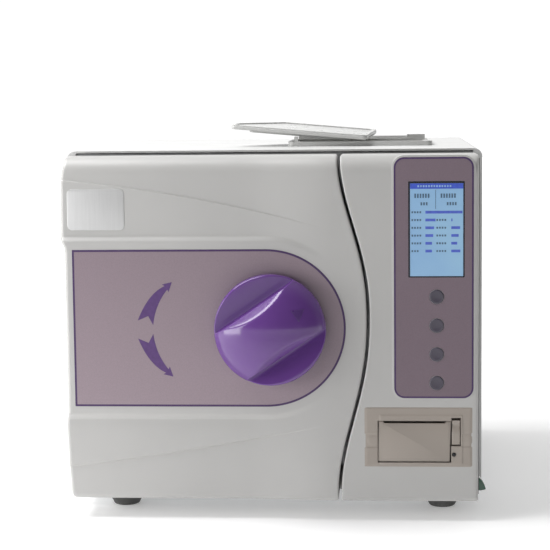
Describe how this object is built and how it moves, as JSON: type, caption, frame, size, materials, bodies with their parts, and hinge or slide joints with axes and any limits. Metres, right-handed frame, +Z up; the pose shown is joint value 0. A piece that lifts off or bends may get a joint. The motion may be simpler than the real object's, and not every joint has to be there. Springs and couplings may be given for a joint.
{
  "type": "benchtop autoclave",
  "caption": "Benchtop steam autoclave with hinged round-knob door, side control fascia, panel printer and top water filler.",
  "frame": {"origin": "bench surface, at the middle of the overall footprint", "axes": "+X to the operator's right, +Y towards the rear, +Z up"},
  "size_m": [0.4251, 0.5185, 0.3932],
  "materials": {
    "cover_paint": "white powder coat",
    "zinc_sheet": "galvanised sheet",
    "rubber_foot": "matt",
    "front_plastic": "satin white moulding",
    "liner_plastic": "white moulding",
    "overlay_film": "mauve-grey printed film",
    "panel_film": "mauve-grey printed film",
    "display_glass": "clear window",
    "display_body": "black module",
    "circuit_board": "green board",
    "printer_plastic": "warm grey moulding",
    "printer_rubber": "black roller",
    "thermal_paper": "white roll",
    "key_plastic": "dark mauve",
    "black_plastic": "black moulding",
    "rocker_plastic": "dark green",
    "badge_metal": "plain plate",
    "stainless": "satin stainless",
    "machined_steel": "machined",
    "silicone": "translucent white",
    "knob_plastic": "gloss purple",
    "heater": "mica band heater",
    "glass_wool": "insulation sleeve",
    "tank_plastic": "natural polyethylene",
    "lid_plastic": "white moulding",
    "pump_paint": "dark grey",
    "pump_plastic": "blue-grey moulding",
    "copper": "copper",
    "brass": "brass",
    "filter_plastic": "pale blue"
  },
  "bodies": {
    "machine": {"base_pan": "zinc_sheet", "feet": "rubber_foot", "front_frame": "zinc_sheet", "outer_cover": "cover_paint", "rear_panel": "cover_paint", "side_fascia": "front_plastic", "control_overlay": "overlay_film", "display_window": "display_glass", "display_module": "display_body", "control_board": "circuit_board", "printer_frame": "printer_plastic", "rocker_frame": "black_plastic", "hinge_bracket": "zinc_sheet", "hinge_pins": "machined_steel", "door_switch": "black_plastic", "lock_solenoid": "black_plastic", "chamber": "stainless", "chamber_flange": "machined_steel", "heater_band": "heater", "insulation_jacket": "glass_wool", "tray_rack": "stainless", "trays": "stainless", "water_tank": "tank_plastic", "filler_frame": "lid_plastic", "steam_generator": "stainless", "vacuum_pump": "pump_paint", "water_pump": "pump_plastic", "condenser": "copper", "solenoid_valves": "brass", "piping": "copper", "safety_valve": "brass", "air_filter": "filter_plastic", "drain_ports": "brass", "fan_housing": "black_plastic", "power_inlet": "black_plastic", "main_board": "circuit_board", "cover_screws": "machined_steel"},
    "door": {"door_cover": "front_plastic", "door_panel": "panel_film", "door_badge": "badge_metal", "door_back": "liner_plastic", "door_arm": "zinc_sheet", "pressure_plate": "stainless", "door_gasket": "silicone"},
    "knob": {"door_knob": "knob_plastic", "knob_spindle": "machined_steel"},
    "bolt_upper": {"upper_bolt": "machined_steel"},
    "bolt_lower": {"lower_bolt": "machined_steel"},
    "paper_door": {"printer_door": "printer_plastic"},
    "platen": {"platen_roller": "printer_rubber"},
    "lever": {"printer_lever": "printer_plastic"},
    "roll": {"paper_roll": "thermal_paper"},
    "key_1": {"key_1": "key_plastic"},
    "key_2": {"key_2": "key_plastic"},
    "key_3": {"key_3": "key_plastic"},
    "key_4": {"key_4": "key_plastic"},
    "rocker": {"power_rocker": "rocker_plastic"},
    "lid": {"tank_lid": "lid_plastic"},
    "fan": {"fan_rotor": "black_plastic"},
    "plunger": {"lock_plunger": "machined_steel"}
  },
  "joints": [
    {"name": "door_swing", "type": "hinge", "parent": "machine", "child": "door", "pos_m": [-0.198, -0.179, 0.194], "axis": [0, 0, -1], "range_deg": [0, 100]},
    {"name": "knob_turn", "type": "hinge", "parent": "door", "child": "knob", "pos_m": [0, -0.23, 0.194], "axis": [0, 1, 0], "range_deg": [0, 90]},
    {"name": "upper_bolt_slide", "type": "slide", "parent": "door", "child": "bolt_upper", "axis": [0, 0, 1], "range_m": [0, 0.014]},
    {"name": "lower_bolt_slide", "type": "slide", "parent": "door", "child": "bolt_lower", "axis": [0, 0, -1], "range_m": [0, 0.014]},
    {"name": "printer_door_swing", "type": "hinge", "parent": "machine", "child": "paper_door", "pos_m": [0.14, -0.2175, 0.062], "axis": [1, 0, 0], "range_deg": [0, 75]},
    {"name": "platen_spin", "type": "hinge", "parent": "paper_door", "child": "platen", "pos_m": [0.14, -0.211, 0.095], "axis": [1, 0, 0], "continuous": true},
    {"name": "printer_lever_tilt", "type": "hinge", "parent": "machine", "child": "lever", "pos_m": [0.181, -0.217, 0.08], "axis": [1, 0, 0], "range_deg": [0, 18]},
    {"name": "paper_roll_spin", "type": "hinge", "parent": "machine", "child": "roll", "pos_m": [0.14, -0.191, 0.076], "axis": [1, 0, 0], "continuous": true},
    {"name": "key_1_press", "type": "slide", "parent": "machine", "child": "key_1", "axis": [0, 1, 0], "range_m": [0, 0.0006], "stiffness_N_per_m": 800},
    {"name": "key_2_press", "type": "slide", "parent": "machine", "child": "key_2", "axis": [0, 1, 0], "range_m": [0, 0.0006], "stiffness_N_per_m": 800},
    {"name": "key_3_press", "type": "slide", "parent": "machine", "child": "key_3", "axis": [0, 1, 0], "range_m": [0, 0.0006], "stiffness_N_per_m": 800},
    {"name": "key_4_press", "type": "slide", "parent": "machine", "child": "key_4", "axis": [0, 1, 0], "range_m": [0, 0.0006], "stiffness_N_per_m": 800},
    {"name": "rocker_tilt", "type": "hinge", "parent": "machine", "child": "rocker", "pos_m": [0.203, -0.195, 0.0332], "axis": [0, 1, 0], "range_deg": [0, 14]},
    {"name": "tank_lid_lift", "type": "slide", "parent": "machine", "child": "lid", "axis": [0, 0, 1], "range_m": [0, 0.08]},
    {"name": "fan_spin", "type": "hinge", "parent": "machine", "child": "fan", "pos_m": [-0.14, 0.2195, 0.16], "axis": [0, 1, 0], "continuous": true},
    {"name": "lock_plunger_slide", "type": "slide", "parent": "machine", "child": "plunger", "axis": [0, -1, 0], "range_m": [0, 0.012]}
  ],
  "couplings": [
    {"joint": "upper_bolt_slide", "follows": "knob_turn", "m_per_rad": 0.0089127},
    {"joint": "lower_bolt_slide", "follows": "knob_turn", "m_per_rad": 0.0089127}
  ]
}
